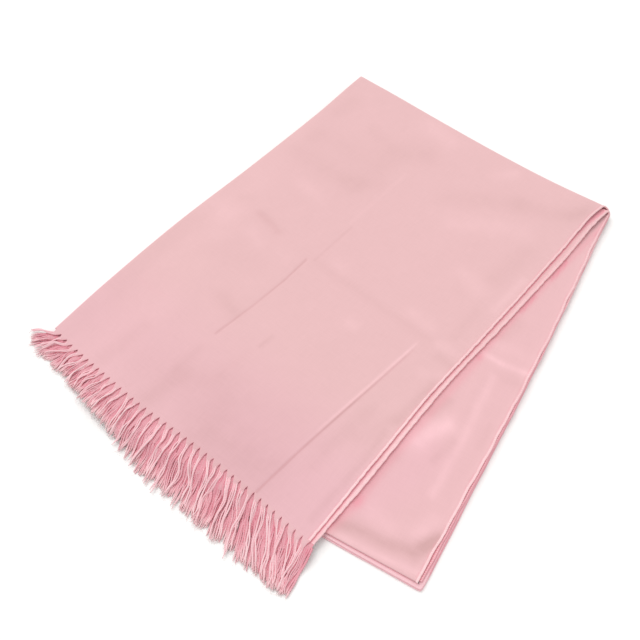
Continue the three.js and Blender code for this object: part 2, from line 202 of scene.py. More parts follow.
# How far places lie beyond the second fold.
def pastSecondFold(x, y):
    s = lowerSections
    return (x - s["foldX"][-1]) * secondFold["x"] + (y - s["foldY"][-1]) * secondFold["y"]


# The hidden layers' outline also places the plan in the frame.
def hiddenOutline():
    end = {name: column[-1] for name, column in lowerSections.items()}
    foldSide = (0.97, 0.8, 0.6, 0.4, 0.2, 0.03)
    outline = [(alongLower("foldX", v) - 0.5, alongLower("foldY", v)) for v in foldSide]
    outline += [(x, turnStart(x) - 1.3) for x in (8, 14, 60, 120, 180, 240, 300, 340)]
    for v in (0.03, 0.1, 0.2, 0.35, 0.5, 0.65, 0.8, 0.93, 0.985):
        reach = alongLower("hidden", v)
        outline.append((alongLower("edgeX", v) + reach, alongLower("edgeY", v) + reach * 0.2))
    for s in (0.998, 0.99, 0.96, 0.8, 0.6, 0.4, 0.2, 0.04, 0.01):
        drop = 5.2 + 3.2 * s * (1 - s) + 1.1 * smooth((s - 0.4) / 0.3) - (2 if s < 0.02 else 0)
        x = mix(end["foldX"], end["edgeX"] + end["hidden"], s)
        y = mix(end["foldY"], end["edgeY"], s)
        outline.append((x + secondFold["x"] * drop, y + secondFold["y"] * drop))
    return np.array(outline, float)


def insetOutline(outline, inset):
    before = outline - np.roll(outline, 1, axis=0)
    after = np.roll(outline, -1, axis=0) - outline
    along = unit(unit(before) + unit(after))
    return outline + np.stack([along[:, 1], -along[:, 0]], axis=1) * np.reshape(inset, (-1, 1))


hiddenLow = np.array(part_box("hidden_layers")[0])[:2] * 1000
planShift = hiddenLow - insetOutline(hiddenOutline(), 0.2).min(axis=0)


def toFrame(points):
    return (np.asarray(points, float).reshape(-1, 3) + [planShift[0], planShift[1], 0]) / 1000


# Mesh makers
def link(name, data):
    thing = bpy.data.objects.new(name, data)
    bpy.context.scene.collection.objects.link(thing)
    return thing


def makePiece(name, points, faces, uv, marks, material, sharp=None):
    mesh = bpy.data.meshes.new(name)
    mesh.from_pydata(toFrame(points).tolist(), [], faces)
    corner = np.empty(len(mesh.loops), int)
    mesh.loops.foreach_get("vertex_index", corner)
    clothUv = np.reshape(uv, (-1, 2))[corner].ravel()
    mesh.uv_layers.new(name="clothUv").data.foreach_set("uv", clothUv)
    for mark, values in marks.items():
        mesh.attributes.new(mark, "FLOAT", "POINT").data.foreach_set("value", values)
    mesh.shade_smooth()
    if sharp:
        mesh.set_sharp_from_angle(angle=math.radians(sharp))
    mesh.materials.append(material)
    return link(name, mesh)


# Four-cornered faces between neighbours in grids of point numbers.
def gridQuads(grid):
    corners = [grid[..., :-1, :-1], grid[..., 1:, :-1], grid[..., 1:, 1:], grid[..., :-1, 1:]]
    return np.stack(corners, axis=-1).reshape(-1, 4)


# The same grids, closed round their last axis.
def roundQuads(grid):
    return gridQuads(np.concatenate([grid, grid[..., :1]], axis=-1))


# Thin closed shell of cloth round a grid of middle points.
def clothShell(mid, half):
    deep, wide = mid.shape[:2]
    n = deep * wide
    out = unit(np.cross(np.gradient(mid, axis=0), np.gradient(mid, axis=1)))
    reach = out * np.broadcast_to(half, (deep, wide))[..., None]
    points = np.concatenate([(mid + reach).reshape(-1, 3), (mid - reach).reshape(-1, 3)])
    grid = np.arange(n).reshape(deep, wide)
    outer = gridQuads(grid)
    faces = [outer, outer[:, ::-1] + n]
    for rim in (grid[::-1, 0], grid[:, -1], grid[0], grid[-1, ::-1]):
        a, b = rim[:-1], rim[1:]
        faces.append(np.stack([a, b, b + n, a + n], axis=1))
    return points, np.concatenate(faces)


# The same values on the outer and the inner side of a shell.
def bothSides(values):
    return np.concatenate([np.ravel(values)] * 2)


# Tubes round many paths at once: paths (count, steps, 3), radius (count, steps).
def makeTubes(name, paths, radius, sides, material, marks):
    count, steps = paths.shape[:2]
    along = unit(np.gradient(paths, axis=1))
    level = unit(np.cross(along, [0.0, 0.0, 1.0]))
    above = np.cross(level, along)
    turn = np.arange(sides) * 2 * math.pi / sides
    ring = level[:, :, None] * np.cos(turn)[:, None] + above[:, :, None] * np.sin(turn)[:, None]
    points = paths[:, :, None] + ring * radius[:, :, None, None]
    around, run = np.broadcast_arrays(turn / (2 * math.pi), runAlong(paths)[..., None] / 1000)
    grid = np.arange(count * steps * sides).reshape(count, steps, sides)
    faces = roundQuads(grid)[:, [0, 3, 2, 1]].tolist() + grid[:, 0, ::-1].tolist() + grid[:, -1].tolist()
    spread = {mark: np.repeat(np.broadcast_to(values, radius.shape).ravel(), sides)
              for mark, values in marks.items()}
    return makePiece(name, points, faces, np.stack([around, run], axis=-1), spread, material)


# Materials
# An output of a node: sums and products of outputs add Math nodes.
class Signal:
    def __init__(self, maker, node, out):
        self.maker, self.node, self.out = maker, node, out

    def math(self, operation, *values):
        return self.maker.node("ShaderNodeMath", {"operation": operation}, dict(enumerate(values)))

    def __add__(self, other):
        return self.math("ADD", self, other)

    def __radd__(self, other):
        return self.math("ADD", other, self)

    def __sub__(self, other):
        return self.math("SUBTRACT", self, other)

    def __rsub__(self, other):
        return self.math("SUBTRACT", other, self)

    def __mul__(self, other):
        return self.math("MULTIPLY", self, other)

    def __rmul__(self, other):
        return self.math("MULTIPLY", other, self)

    def sine(self):
        return self.math("SINE", self)

    def other(self, out):
        return Signal(self.maker, self.node, out)


class Maker:
    def __init__(self, name):
        self.material = bpy.data.materials.new(name)
        self.material.use_nodes = True
        self.tree = self.material.node_tree
        self.tree.nodes.clear()

    # One node: its type, its settings, then the values or links of its sockets, by name or number.
    def node(self, kind, settings, sockets, out=0):
        node = self.tree.nodes.new(kind)
        for key, value in settings.items():
            setattr(node, key, value)
        for key, value in sockets.items():
            if isinstance(value, Signal):
                self.tree.links.new(value.node.outputs[value.out], node.inputs[key])
            else:
                node.inputs[key].default_value = value
        return Signal(self, node, out)

    def colourMix(self, a, b, amount, blend="MIX"):
        settings = {"data_type": "RGBA", "blend_type": blend}
        return self.node("ShaderNodeMix", settings, {0: amount, 6: a, 7: b}, out=2)

    def mark(self, name):
        return self.node("ShaderNodeAttribute", {"attribute_name": name}, {}, out=2)

    def noise(self, vector, scale, detail=2.0):
        return self.node("ShaderNodeTexNoise", {}, {"Vector": vector, "Scale": scale, "Detail": detail})

    # Noise drawn out along the threads.
    def streaks(self, vector, scale, detail):
        drawn = self.node("ShaderNodeMapping", {}, {"Vector": vector, "Scale": scale})
        return self.noise(drawn, 1.0, detail)

    def clamped(self, value):
        return self.node("ShaderNodeClamp", {}, {"Value": value})

    def bump(self, height, strength, depth):
        sockets = {"Strength": strength, "Distance": depth, "Height": height}
        return self.node("ShaderNodeBump", {}, sockets)

    # How near other surfaces lie, from 0 in the open to 1 deep in a gap: the mask for painted shade in
    # gaps.
    def closeness(self, reach, start):
        air = self.node("ShaderNodeAmbientOcclusion", {"samples": 5}, {"Distance": reach}, out=1)
        return self.clamped((1 - start - air) * paintedGapShade["amount"])

    def finish(self, sockets):
        shader = self.node("ShaderNodeBsdfPrincipled", {}, sockets)
        self.node("ShaderNodeOutputMaterial", {}, {"Surface": shader})
        return self.material


def rgb(red, green, blue):
    return (red, green, blue, 1.0)


twill = {
    "thread": 0.00045,     # metres from one rib to the next
    "ribs": 0.25,          # depth of the ribs and the nap in the light
    "ground": 0.935,
    "weave": 0.055,        # how uneven warp and weft are in colour
    "broad": 0.02,         # and the cloth in broad and small patches
    "cloudy": 0.025,
    "ribShade": 0.012,
    "napAndShadeDepth": 0.075,     # how much lighter or darker brushed patches and painted light and shade are
    "roughness": 0.75,
    "sheen": 0.25,
    "sheenTint": rgb(1.0, 0.86, 0.87),
    "darker": (0.816, 0.792, 0.776),     # nap brushed away from the light and painted shade, a little warmer
    "lighter": (1.182, 1.206, 1.236),    # and towards it, and painted highlights
    "warm": rgb(1.0, 1.009, 0.991),      # the pink is warmer far from the hem and cooler near it
    "cool": rgb(1.014, 0.964, 1.016),
    # painted highlight on the rolled edges
    "rim": rgb(0.86, 0.58, 0.595),
    # painted shade along creases and contact lines
    "crease": rgb(0.74, 0.27, 0.33),
}
# Painted shade: a deeper rose where layers and yarns lie close and shade falls, over this reach in metres.
paintedGapShade = {
    "cloth": rgb(0.95, 0.40, 0.47),
    "yarn": rgb(0.88, 0.32, 0.40),
    "clothReach": 0.0032,
    "pointReach": 0.008,
    "yarnReach": 0.004,
    "clothStart": 0.12,
    "yarnStart": 0.34,
    "amount": 1.3,
}


def clothTwill(name, colour, reach=paintedGapShade["clothReach"]):
    m = Maker(name)
    uv = m.node("ShaderNodeTexCoord", {}, {}, out=2)
    u = m.node("ShaderNodeSeparateXYZ", {}, {"Vector": uv})
    v = u.other(1)
    turns = 2 * math.pi / twill["thread"]
    rib = ((u + v * 1.15) * turns).sine() * 0.5 + 0.5
    over = ((u - v) * turns * 0.5).sine() * 0.5 + 0.5
    warpAndWeft = m.streaks(uv, (900.0, 60.0, 1.0), 1.0) + m.streaks(uv, (55.0, 800.0, 1.0), 1.0)
    nap = m.noise(uv, 1500.0, 3.0)
    broad = m.noise(uv, 11.0)
    cloudy = m.noise(uv, 42.0, 3.0)
    tone = twill["ground"] + warpAndWeft * twill["weave"] + broad * twill["broad"]
    tone = tone + cloudy * twill["cloudy"] - rib * twill["ribShade"]
    # Brushed nap with painted light and shade, from the nap mark.
    tone = tone + m.mark("nap") * (0.2 + cloudy * 1.6) * twill["napAndShadeDepth"]
    darker, lighter = (rgb(*(part * share for part, share in zip(colour, twill[way])))
                       for way in ("darker", "lighter"))
    base = m.colourMix(darker, lighter, tone * 2.5 - 2)
    tint = m.colourMix(twill["warm"], twill["cool"], m.mark("cool"))
    base = m.colourMix(base, tint, 1.0, "MULTIPLY")
    # Painted highlight on the rolled edges.
    base = m.colourMix(base, twill["rim"], m.mark("rim"))
    # Painted shade: a deeper rose where other surfaces lie close.
    base = m.colourMix(base, paintedGapShade["cloth"], m.closeness(reach, paintedGapShade["clothStart"]))
    # Painted shade along creases, contact lines and the sides of the hem points; the stitches share this
    # colour.
    base = m.colourMix(base, twill["crease"], m.mark("crease"))
    height = rib * 0.5 + over * 0.15 + nap * 0.7 + warpAndWeft * 0.4
    return m.finish({
        "Base Color": base,
        "Roughness": twill["roughness"] + nap * 0.08 + cloudy * 0.06,
        "Normal": m.bump(height, twill["ribs"], 0.0002),
        "Sheen Weight": twill["sheen"],
        "Sheen Roughness": 0.42,
        "Sheen Tint": twill["sheenTint"],
        "Specular IOR Level": 0.22,
    })


yarn = {
    "twist": 0.0026,       # metres for one turn of the twist
    "depth": 0.28,
    "roughness": 0.84,
    "pale": rgb(0.88, 0.70, 0.69),       # frayed tips
}


def twistedYarn(name, light, deep, gapShaded=True):
    m = Maker(name)
    uv = m.node("ShaderNodeTexCoord", {}, {}, out=2)
    u = m.node("ShaderNodeSeparateXYZ", {}, {"Vector": uv})
    v = u.other(1)
    strand = (u * (4 * math.pi) + v * (2 * math.pi / yarn["twist"])).sine() * 0.5 + 0.5
    hairs = m.streaks(uv, (14.0, 900.0, 1.0), 2.0)
    along = m.streaks(uv, (1.0, 160.0, 1.0), 2.0)
    # Painted shade from the shade mark and in the grooves of the twist, with random streaks along the yarn.
    shade = m.mark("shade") + (1 - strand) * 0.12 + along * 0.16 - 0.12
    base = m.colourMix(light, deep, m.clamped(shade))
    # Painted shade: a deeper rose in the gaps between yarns.
    if gapShaded:
        base = m.colourMix(base, paintedGapShade["yarn"], m.closeness(paintedGapShade["yarnReach"], paintedGapShade["yarnStart"]))
    return m.finish({
        "Base Color": m.colourMix(base, yarn["pale"], m.mark("pale")),
        "Roughness": yarn["roughness"] - hairs * 0.1,
        "Normal": m.bump(strand + hairs * 0.5, yarn["depth"], 0.00025),
        "Sheen Weight": 0.3,
        "Sheen Roughness": 0.4,
        "Sheen Tint": rgb(1.0, 0.82, 0.84),
        "Specular IOR Level": 0.2,
    })


pashminaPink = rgb(0.667, 0.412, 0.422)
clothMaterial = clothTwill("pashmina_twill", pashminaPink)
# Painted light: lighter copies of the cloth for the lower stretch and the hidden folds, where light falls
# more brightly.
lowerMaterial = clothTwill("pashmina_twill_lower", rgb(0.68, 0.415, 0.427))
foldMaterial = clothTwill("pashmina_twill_folds", rgb(0.80, 0.50, 0.54), 0.0012)
# The hem points take painted gap shade over a longer reach.
pointMaterial = clothTwill("pashmina_twill_points", pashminaPink, paintedGapShade["pointReach"])
# Painted shade: the under row's hem points and yarns are darker copies, as they lie in shade under the top
# row.
shadedUnderPointMaterial = clothTwill("pashmina_twill_under_points", rgb(0.63, 0.33, 0.355), 0.002)
yarnMaterial = twistedYarn("fringe_yarn", rgb(0.80, 0.535, 0.56), rgb(0.80, 0.28, 0.35))
shadedUnderYarnMaterial = twistedYarn("fringe_yarn_under", rgb(0.74, 0.43, 0.465), rgb(0.67, 0.23, 0.29))
# Painted highlight: the edge thread is lighter where the rolled edges catch the light, without painted gap
# shade.
edgeMaterial = twistedYarn("edge_thread", rgb(0.93, 0.67, 0.68), rgb(0.84, 0.50, 0.53), gapShaded=False)

# Upper stretch
upperLook = {
    "wander": 0.5,         # how far the free edges wander
    "pressedDepth": 0.5,   # the sharp press crease from the hem
    "pressedWidth": 1.1,
    "pressedLit": 1.5,     # painted highlight and painted shade on its two sides
    "pressedDark": 2.8,
    "foldScale": 1.35,     # how deep the soft troughs and ridges are
}
# Troughs and ridges in the top layer: the line, half its width, its height, how much painted shade
# darkens it as a crease.
upperFolds = [
    ([(131, 104), (136, 150), (139, 200), (138.5, 236)], 1.8, -0.24, 0.1),
    ([(146, 240), (147, 300)], 1.6, -0.12, 0.03),
    ([(124, 60), (119, 110), (129, 190), (131, 240), (138, 300)], 9, 0.14, 0),
    ([(167, 60), (172, 103), (177, 134)], 2.4, -0.14, 0.02),
    ([(150, 239), (196, 238), (240, 238), (300, 240)], 4.5, -0.13, 0),
    ([(150, 250), (200, 249), (245, 250), (292, 251)], 7, 0.16, 0),
    ([(56, 247), (76, 246), (91, 241)], 4.6, -0.26, 0.03),
    ([(58, 257), (89, 252)], 6, 0.2, 0),
    ([(16, 101), (38, 99), (60, 102)], 3.2, -0.2, 0.03),
    ([(112, 345), (124, 395), (134, 440)], 17, -0.36, 0),
    ([(97, 330), (104, 380), (112, 425)], 14, 0.3, 0),
    ([(180, 16), (212, 34), (246, 59)], 16, -0.35, 0),
    ([(57, 290), (57, 335)], 22, 0.35, 0),
    ([(2, 205), (-2, 240)], 12, 0.3, 0),
    ([(226, 180), (240, 214)], 17, 0.34, 0),
    ([(262, 228), (272, 246)], 11, 0.25, 0),
    ([(252, 390), (268, 424)], 24, 0.35, 0),
    ([(205, 300), (214, 352), (228, 395)], 12, -0.22, 0),
    ([(40, 150), (66, 190), (84, 214)], 12, -0.24, 0),
    ([(306, 60), (312, 130), (316, 190)], 9, -0.2, 0),
    ([(76, 70), (92, 120)], 14, 0.2, 0),
    ([(30, 392), (44, 440)], 15, -0.25, 0),
]
# Patches where the nap is brushed lighter or darker, with painted highlights and shade along folds,
# creases and edges: the line, half its width, how much.
upperNapAndShade = [
    ([(2, 226), (26, 224)], 15, 0.55), ([(66, 222), (84, 220)], 9, 0.4),
    ([(108, 222), (120, 222)], 8, 0.3), ([(226, 203), (234, 203)], 6, 0.7),
    ([(62, 311), (92, 309)], 8, 0.45), ([(116, 480), (152, 474)], 12, 0.6),
    ([(225, 468), (238, 482)], 8, 0.6), ([(225, 382), (258, 400), (290, 420)], 14, 0.5),
    ([(272, 332), (302, 326)], 10, 0.55), ([(330, 315), (331, 366)], 5, 0.7),
    ([(168, 252), (178, 252)], 8, 0.5), ([(268, 256), (292, 254)], 8, 0.55),
    ([(312, 243), (326, 247)], 6, 0.6), ([(15, 120), (40, 200)], 14, 0.2),
    ([(296, 57), (298, 70)], 6, 0.3), ([(318, 205), (330, 212)], 5, 0.4),
    ([(5, 60), (20, 40)], 10, 0.2), ([(106, 140), (128, 135)], 9, -0.75),
    ([(176, 122), (178, 138)], 2.2, -1.1), ([(171, 72), (173, 108)], 5, -0.2),
    ([(130, 45), (132, 80)], 5, -0.35), ([(58, 248), (76, 246), (90, 242)], 6, -0.75),
    ([(25, 252), (35, 258)], 9, -0.35), ([(112, 422), (144, 440)], 17, -0.6),
    ([(72, 428), (86, 426)], 10, -0.4), ([(24, 345), (110, 347)], 14, -0.5),
    ([(22, 372), (24, 384)], 8, -0.35), ([(100, 352), (128, 364)], 13, -0.4),
    ([(45, 385), (112, 390)], 24, -0.4), ([(200, 405), (230, 425), (268, 449)], 12, -0.45),
    ([(268, 449), (300, 458), (330, 482)], 11, -0.5), ([(318, 262), (317, 300)], 7, -0.4),
    ([(308, 350), (313, 400)], 11, -0.5), ([(206, 18), (262, 22)], 34, -1.3),
    ([(134, 6), (142, 50)], 13, -0.8), ([(64, 8), (68, 60)], 10, -0.6),
    ([(100, 30), (170, 60)], 30, -0.35), ([(163, 30), (167, 75)], 8, -0.15),
    ([(190, 66), (262, 78)], 26, -0.45), ([(300, 60), (306, 140)], 9, -0.6),
    ([(318, 110), (330, 145)], 9, -0.5), ([(337, 20), (336, 90), (333, 130)], 4, -0.8),
    ([(334, 150), (336, 205)], 6, -0.9), ([(320, 232), (336, 232)], 6, -0.7),
    ([(150, 239), (300, 240)], 6, -0.35), ([(20, 425), (22, 450)], 9, -0.45),
    ([(45, 175), (95, 195)], 14, -0.25), ([(322, 470), (332, 496)], 10, -0.5),
    ([(131, 104), (136, 150), (139, 200), (138.5, 234)], 1.1, -1.9),
    ([(146, 240), (147, 300)], 1.3, -0.6), ([(142, 305), (144, 400)], 2.2, 0.4),
    ([(20, 40), (30, 130), (24, 200)], 26, -0.25),
]


def pressedLine(x, y, width):
    return bell((x - alongBand("pressed", y)) / width) * smooth((236 - y) / 40)


def slowWaves(x, y):
    return (0.11 * np.sin(x / 21 + y / 47 + 0.6) + 0.09 * np.sin(x / 37 - y / 26 + 2.1)
            + 0.06 * np.sin(x / 12.5 + y / 88 + 4.2) * np.sin(y / 61 + 1.3))


def upperRelief(x, y, side):
    height = slowWaves(x + (0 if side > 0 else 31), y) + upperLook["foldScale"] * strokes(x, y, upperFolds)
    # The press crease is a trough at the hem and a ridge further up.
    pressed = upperLook["pressedDepth"] * pressedLine(x, y, upperLook["pressedWidth"])
    height = height + mix(-0.5, 0.9, smooth((y - 60) / 90)) * pressed
    height = height + 0.16 * pressedLine(x + 6, y, 5.5)
    return height * smooth((turnStart(x) - y) / 14) * (1 if side > 0 else 0.5)


# Painted shade along the press crease and the narrow creases of the folds.
def upperCreases(x, y):
    narrow = [(line, width * 0.6, part) for line, width, _, part in upperFolds if part]
    return 0.12 * pressedLine(x - 1.1, y, 1.0) + strokes(x, y, narrow)


# The under layer lies in rose shade right beside the top edge.
def underCreases(x, y):
    edge, under = alongBand("topEdge", y), alongBand("underEdge", y)
    groove = edge + 2.1 + 1.2 * smooth((y - 370) / 70)
    return 0.62 * smooth((x - edge + 6) / 3) * smooth((groove - x) / 1.6) * smooth((under - 1.6 - x) / 0.7)


# Height of a layer of the upper stretch, some way in from its free edge.
def upperSurface(x, y, side, inset):
    base = support(x, y)
    onStack = smooth(base / stackTop)
    pastFold = x - alongBand("fold", y)
    height = base + (shawl["restGap"] + 0.05) * onStack + shawl["ply"] / 2 + turnLift(x, y) * 1.35
    edge = smooth(1 - inset / 9)
    if side > 0:
        loose = smooth(1 - pastFold / 26) * (1 - 0.75 * onStack)
        step = mix(shawl["layerStep"], 2 * shawl["foldRadius"], loose) + turnLift(x, y) * 0.75
        height = height + mix(step, np.maximum(step, shawl["beadStep"] - 0.35), edge)
    else:
        height = height + shawl["beadLift"] * edge
    relief = upperRelief(x, y, side) * mix(0.6, 1, onStack) * smooth(pastFold / 9)
    return height + relief * smooth(inset / 3 + 0.4)


def lowerPoint(s, v, side):
    s, v = np.broadcast_arrays(np.asarray(s, float), np.asarray(v, float))
    reach = np.zeros_like(v) if side > 0 else alongLower("under", v)
    foldX = alongLower("foldX", v)
    edgeX = alongLower("edgeX", v) - secondFold["y"] * reach
    edgeY = alongLower("edgeY", v) + secondFold["x"] * reach
    x = mix(foldX + shawl["pressedRadius"], edgeX, s)
    startY = mix(lowerSections["foldY"][0], lowerSections["edgeY"][0], s)
    y = mix(alongLower("foldY", v), edgeY, s) + (turnStart(x) - startY) * smooth(1 - v / 0.08)
    edge = smooth(1 - (1 - s) * (edgeX - foldX) / 9)
    free = smooth((x - alongBand("underEdge", y) - 4) / 14)
    step = 0.5 * bell((v - 0.5) / 0.014) * free
    opened = acrossBand("lift", x) * smooth(1 - v / 0.17)
    under = lowerUnder + step + shawl["beadLift"] * edge * (1 if side < 0 else 0.3)
    z = under if side < 0 else under + mix(shawl["layerStep"], shawl["beadStep"] + 0.1, edge) + opened * 0.4
    return np.stack([x, y, z], axis=-1)


# Rolled selvage: half its thickness at each distance in from the edge.
rolledInsets = np.array([0, 0.18, 0.5, 0.9, 1.3, 1.7, 2.1, 2.5, 3.2, 4.4, 6, 8])
rolledHalves = np.array([0.3, 0.66, 0.88, 0.97, 0.95, 0.83, 0.62, 0.46] + [halfShell] * 4)


# Half thickness across a whole stretch, rolled at both free edges.
def stretchHalves(wide):
    half = np.full(wide, halfShell)
    half[:len(rolledHalves)] = rolledHalves
    half[-len(rolledHalves):] = rolledHalves[::-1]
    return half


# Places across a layer, from its free edge in to the lengthwise fold, for each y.
def upperColumns(y, edge, fine):
    edge, y = edge[:, None], y[:, None]
    pressed, crease = alongBand("pressed", y), alongBand("crease", y)
    fold = alongBand("fold", y) + shawl["foldRadius"]
    near, nearCrease, counts = np.array([3.0, 0, -3]), np.array([4.0, 0, -4]), (5, 9, 8)
    if fine:
        near = np.array([5, 3.6, 2.6, 1.8, 1.2, 0.6, 0, -0.6, -1.2, -1.8, -2.6, -3.6, -5])
        nearCrease = np.array([6, 4, 2.6, 1.3, 0, -1.3, -2.6, -4, -6])
        counts = (20, 46, 38)

    def between(a, b, count):
        return mix(a, b, np.linspace(0, 1, count + 2)[1:-1])

    return np.concatenate([
        edge - rolledInsets,
        between(edge - rolledInsets[-1], pressed + near[0], counts[0]),
        pressed + near,
        between(pressed + near[-1], crease + nearCrease[0], counts[1]),
        crease + nearCrease,
        between(crease + nearCrease[-1], fold + 12, counts[2]),
        fold + np.array([12, 9.5, 7.4, 5.6, 4, 2.6, 1.2, 0]),
    ], axis=1)


def unevenSteps(low, high, count, places, width, finer):
    samples = np.linspace(low, high, 4000)
    density = np.ones_like(samples)
    for place in places:
        density += finer * bell((samples - place) / width)
    run = np.concatenate([[0], np.cumsum((density[1:] + density[:-1]) / 2)])
    return np.interp(np.linspace(0, run[-1], count), run, samples)


# Round lengthwise fold between the last column of a top layer and the first of its under layer.
def foldBend(start, end, turns):
    radius = (start[:, 2, None] - end[:, 2, None]) / 2
    x = start[:, 0, None] - np.minimum(radius, shawl["foldRadius"]) * np.sin(turns)
    z = (start[:, 2, None] + end[:, 2, None]) / 2 + radius * np.cos(turns)
    return np.stack([x, np.broadcast_to(start[:, 1, None], x.shape), z], axis=-1)


turnSteps = np.arange(12, 181, 12)     # degrees round the cross fold


def upperMid():
    t = unevenSteps(0, 1, 166, [237 / 491], 9 / 491, 2.2)
    yRow = t * turnStart(0)
    wander = np.sin(yRow / 17 + 0.4) * 0.5 + np.sin(yRow / 41 + 2) * 0.7
    wander = upperLook["wander"] * wander * smooth(t * 9) * smooth((1 - t) * 9)
    layers = {}
    for side, name, phase in ((1, "topEdge", 1), (-1, "underEdge", -0.6)):
        edge = alongBand(name, yRow) + wander * phase + rng.normal(0, 0.17, len(yRow))
        x = upperColumns(yRow, edge, side > 0)
        y = mix(acrossBand("hem", x), turnStart(x), t[:, None])
        layers[side] = np.stack([x, y, upperSurface(x, y, side, edge[:, None] - x)], axis=-1)
    top, under = layers[1], layers[-1][:, ::-1]
    turns = np.radians(np.arange(15, 180, 15))
    mid = np.concatenate([top, foldBend(top[:, -1], under[:, 0], turns), under], axis=1)
    sides = np.concatenate([np.ones(top.shape[1]), np.zeros(len(turns)), -np.ones(under.shape[1])])
    # Far side of the cross fold, where the lower stretch starts.
    last = mid[-1]
    folded, foldedUnder = lowerPoint(0, 0, 1), lowerPoint(0, 0, -1)
    foldX = last[sides < 0][0, 0]
    far = np.empty_like(last)
    for side, edgeX in ((1, last[0, 0]), (-1, last[-1, 0])):
        pick = sides == side
        far[pick] = lowerPoint(clamp01((last[pick, 0] - foldX) / (edgeX - foldX)), 0, -side)
    radius, height = (folded[2] - foldedUnder[2]) / 2, (folded[2] + foldedUnder[2]) / 2
    far[sides == 0, 0] = folded[0] - radius * np.sin(turns)
    far[sides == 0, 1] = folded[1]
    far[sides == 0, 2] = height - radius * np.cos(turns)
    rows = []
    for turn in np.radians(turnSteps):
        row = mix(last, far, (1 - math.cos(turn)) / 2)
        row[:, 1] += (last[:, 2] - far[:, 2]) / 2 * math.sin(turn)
        rows.append(row)
    tail = far - [0, shawl["turnTail"], 0]
    return np.concatenate([mid, np.stack(rows), tail[None]], axis=0), sides


def flatUv(mid):
    u = np.linalg.norm(np.diff(mid, axis=1), axis=2).mean(axis=0)
    v = np.linalg.norm(np.diff(mid, axis=0), axis=2).mean(axis=1)
    u, v = (np.concatenate([[0], np.cumsum(steps)]) for steps in (u, v))
    return np.stack(np.meshgrid(v, u, indexing="ij")[::-1], axis=-1) / 1000


def shellPiece(name, mid, material, marks, uvStart=(0, 0)):
    points, faces = clothShell(mid, stretchHalves(mid.shape[1]))
    # The rolled edges carry a painted highlight where they catch the light, weaker further up;
    # a row of small stitches runs just inside them.
    deep, wide = mid.shape[:2]
    share = smooth((2.6 - rolledInsets) / 0.6)
    rim = np.zeros(wide)
    rim[:len(share)], rim[-len(share):] = share, (0.8 * smooth((4.8 - rolledInsets) / 1.6))[::-1]
    stitches = np.zeros(wide)
    stitches[8], stitches[-9] = 1, 1
    stitches = stitches * rng.uniform(-0.1, 0.34, (deep, 1)).clip(0)
    rim = rim * rng.uniform(0.7, 1, (deep, 1)) * (1 - 0.5 * smooth((mid[..., 1] - 120) / 200))
    marks = {**marks, "crease": marks["crease"] + stitches, "rim": rim}
    marks = {mark: bothSides(values) for mark, values in marks.items()}
    uv = bothSides(flatUv(mid) + np.array(uvStart))
    return makePiece(name, points, faces.tolist(), uv, marks, material, sharp=55)


def upperMarks(x, y, sides):
    onTop, onUnder = sides > 0, sides < 0
    crease = np.where(onTop, upperCreases(x, y), 0) + np.where(onUnder, underCreases(x, y), 0)
    crease[-len(turnSteps) - 1:] *= onUnder
    # Painted highlight beside the press crease, painted shade on it; nap with painted light and shade.
    lit = bell((x - alongBand("pressed", y) + 2.0) / 1.5)
    lit = upperLook["pressedLit"] * lit * smooth((y - 30) / 130) * smooth((236 - y) / 10)
    dark = upperLook["pressedDark"] * pressedLine(x - 1, y, 1.2) * (0.2 + 0.8 * smooth((200 - y) / 100))
    nap = strokes(x, y, upperNapAndShade) + lit - dark
    cool = (0.55 + 0.25 * smooth((x - 120) / 140)) * smooth((160 - y) / 130)
    return {"crease": crease, "nap": nap * onTop, "cool": cool}


upperRows, upperSides = upperMid()
upperCloth = shellPiece("upper_cloth", upperRows, clothMaterial,
                        upperMarks(upperRows[..., 0], upperRows[..., 1], upperSides))
print("upper stretch", len(upperCloth.data.polygons))

# Lower stretch
lowerFolds = [
    ([(366, 244), (371, 210), (377, 176)], 5, 0.4),
    ([(358, 236), (364, 205), (368, 176)], 5, -0.25),
    ([(371, 158), (373, 142)], 13, 0.4),
    ([(356, 60), (352, 100), (354, 154), (350, 212), (353, 259)], 6, -0.4),
    ([(372, 46), (395, 47), (416, 52), (430, 66)], 7, -0.75),
    ([(364, 12), (392, 22), (420, 35), (438, 48)], 6, 0.45),
    ([(350, 30), (362, 44)], 7, -0.5),
    ([(380, 76), (398, 82)], 12, 0.35),
    ([(390, 96), (402, 130)], 12, 0.25),
    ([(385, 300), (372, 340), (360, 390)], 6, -0.2),
]
# Painted shade beside the upper stretch's edge, where it shades the lower stretch: the line, half its
# width, how much.
lowerCreases = [
    ([(352, 20), (354, 40), (356, 62)], 6, 0.4),
    ([(357, 60), (353, 110), (351, 190), (350, 260)], 5, 0.3),
    ([(350, 260), (350, 340), (352, 420), (355, 500)], 3.4, 0.32),
    ([(351, 336), (351, 360)], 2, 0.4),
    ([(352, 392), (351, 420)], 2, 0.5),
]
